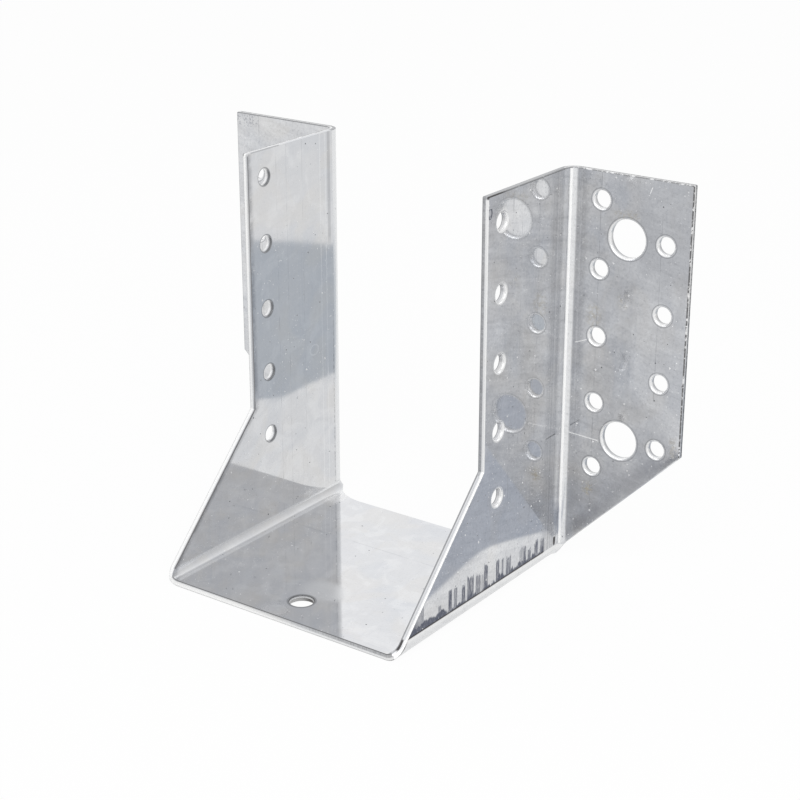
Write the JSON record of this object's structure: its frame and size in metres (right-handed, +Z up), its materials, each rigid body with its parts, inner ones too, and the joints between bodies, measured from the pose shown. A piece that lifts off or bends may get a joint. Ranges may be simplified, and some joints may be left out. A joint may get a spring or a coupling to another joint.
{
  "type": "joist hanger",
  "caption": "Folded sheet steel joist hanger: a U-shaped channel with a flat seat, slanted side plates and outward header flanges, punched for nails and bolts.",
  "frame": {"origin": "centre line of the hanger, in the header plane (rear faces of the flanges), level with the top of the seat", "axes": "+X to the right seen from the joist, +Y into the header, +Z up"},
  "size_m": [0.16, 0.084, 0.12],
  "materials": {
    "galvanised_sheet": "bright zinc-coated sheet, nearly mirror-like, with fine upright rolling lines"
  },
  "bodies": {
    "root": {"joist_hanger": "galvanised_sheet"}
  },
  "joints": []
}
